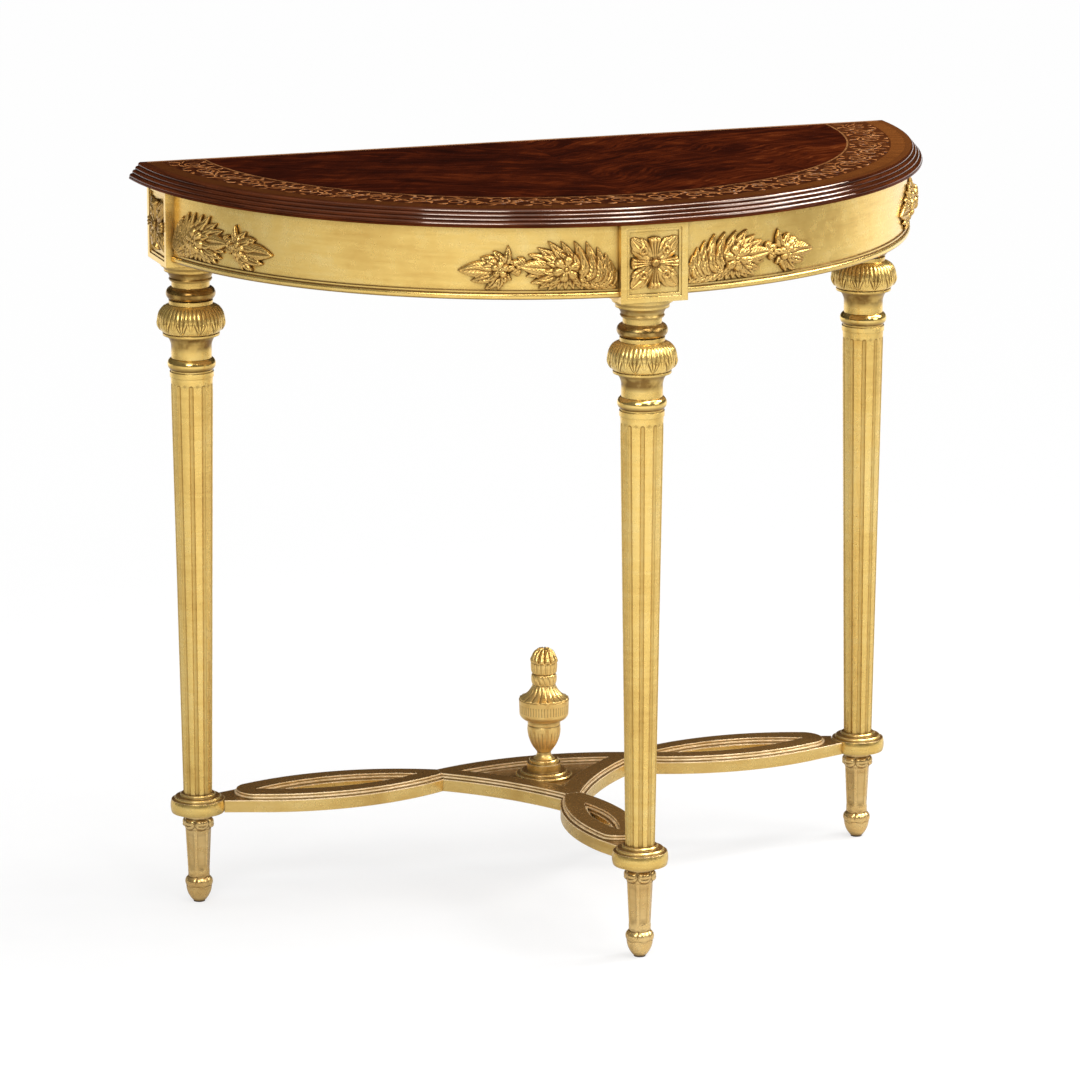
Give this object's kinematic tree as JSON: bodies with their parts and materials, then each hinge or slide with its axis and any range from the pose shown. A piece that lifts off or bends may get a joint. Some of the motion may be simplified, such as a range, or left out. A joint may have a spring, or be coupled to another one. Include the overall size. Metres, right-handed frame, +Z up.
{
  "type": "demilune table",
  "caption": "half-round wall table with a veneered top, gilded frieze, turned fluted legs and a pierced stretcher that carries an urn finial",
  "frame": {"origin": "on the floor, under the middle of the top's bounding box", "axes": "+Z up, +X along the straight back edge, +Y towards the wall that the straight edge stands against"},
  "size_m": [0.914, 0.4569, 0.844],
  "materials": {
    "gilded_wood": "satin gold leaf with brown rubbed recesses",
    "flame_veneer": "polished dark red-brown figured veneer",
    "pale_stringing": "polished pale line",
    "marquetry": "polished dark band with lighter foliate inlay",
    "crossband": "polished orange-brown crossband",
    "edge_moulding": "polished dark brown",
    "carcass_wood": "plain unpolished wood",
    "dowel_wood": "plain hardwood dowel",
    "steel": "plain steel",
    "glide": "matte dark"
  },
  "bodies": {
    "root": {"back_rail": "carcass_wood", "centre_bearer": "carcass_wood", "finial_base": "gilded_wood", "finial_crown": "gilded_wood", "finial_pin": "steel", "finial_urn": "gilded_wood", "foot_front": "gilded_wood", "foot_glides": "glide", "foot_left": "gilded_wood", "foot_right": "gilded_wood", "frieze_bead_left": "gilded_wood", "frieze_bead_right": "gilded_wood", "frieze_rail_left": "gilded_wood", "frieze_rail_right": "gilded_wood", "glue_blocks": "carcass_wood", "leg_block_front": "gilded_wood", "leg_block_left": "gilded_wood", "leg_block_right": "gilded_wood", "leg_front": "gilded_wood", "leg_left": "gilded_wood", "leg_right": "gilded_wood", "rail_dowels": "dowel_wood", "rosette_front": "gilded_wood", "rosette_left": "gilded_wood", "rosette_right": "gilded_wood", "spray_left_end": "gilded_wood", "spray_left_front": "gilded_wood", "spray_right_end": "gilded_wood", "spray_right_front": "gilded_wood", "stretcher_arm_front": "gilded_wood", "stretcher_arm_left": "gilded_wood", "stretcher_arm_right": "gilded_wood", "stretcher_boss_front": "gilded_wood", "stretcher_boss_left": "gilded_wood", "stretcher_boss_right": "gilded_wood", "stretcher_centre": "gilded_wood", "stretcher_dowels": "dowel_wood", "stretcher_panel": "gilded_wood", "top_back_lipping": "edge_moulding", "top_core": "carcass_wood", "top_crossband": "crossband", "top_edge_moulding": "edge_moulding", "top_field_veneer": "flame_veneer", "top_marquetry_band": "marquetry", "top_screws": "steel", "top_stringing": "pale_stringing"}
  },
  "joints": []
}
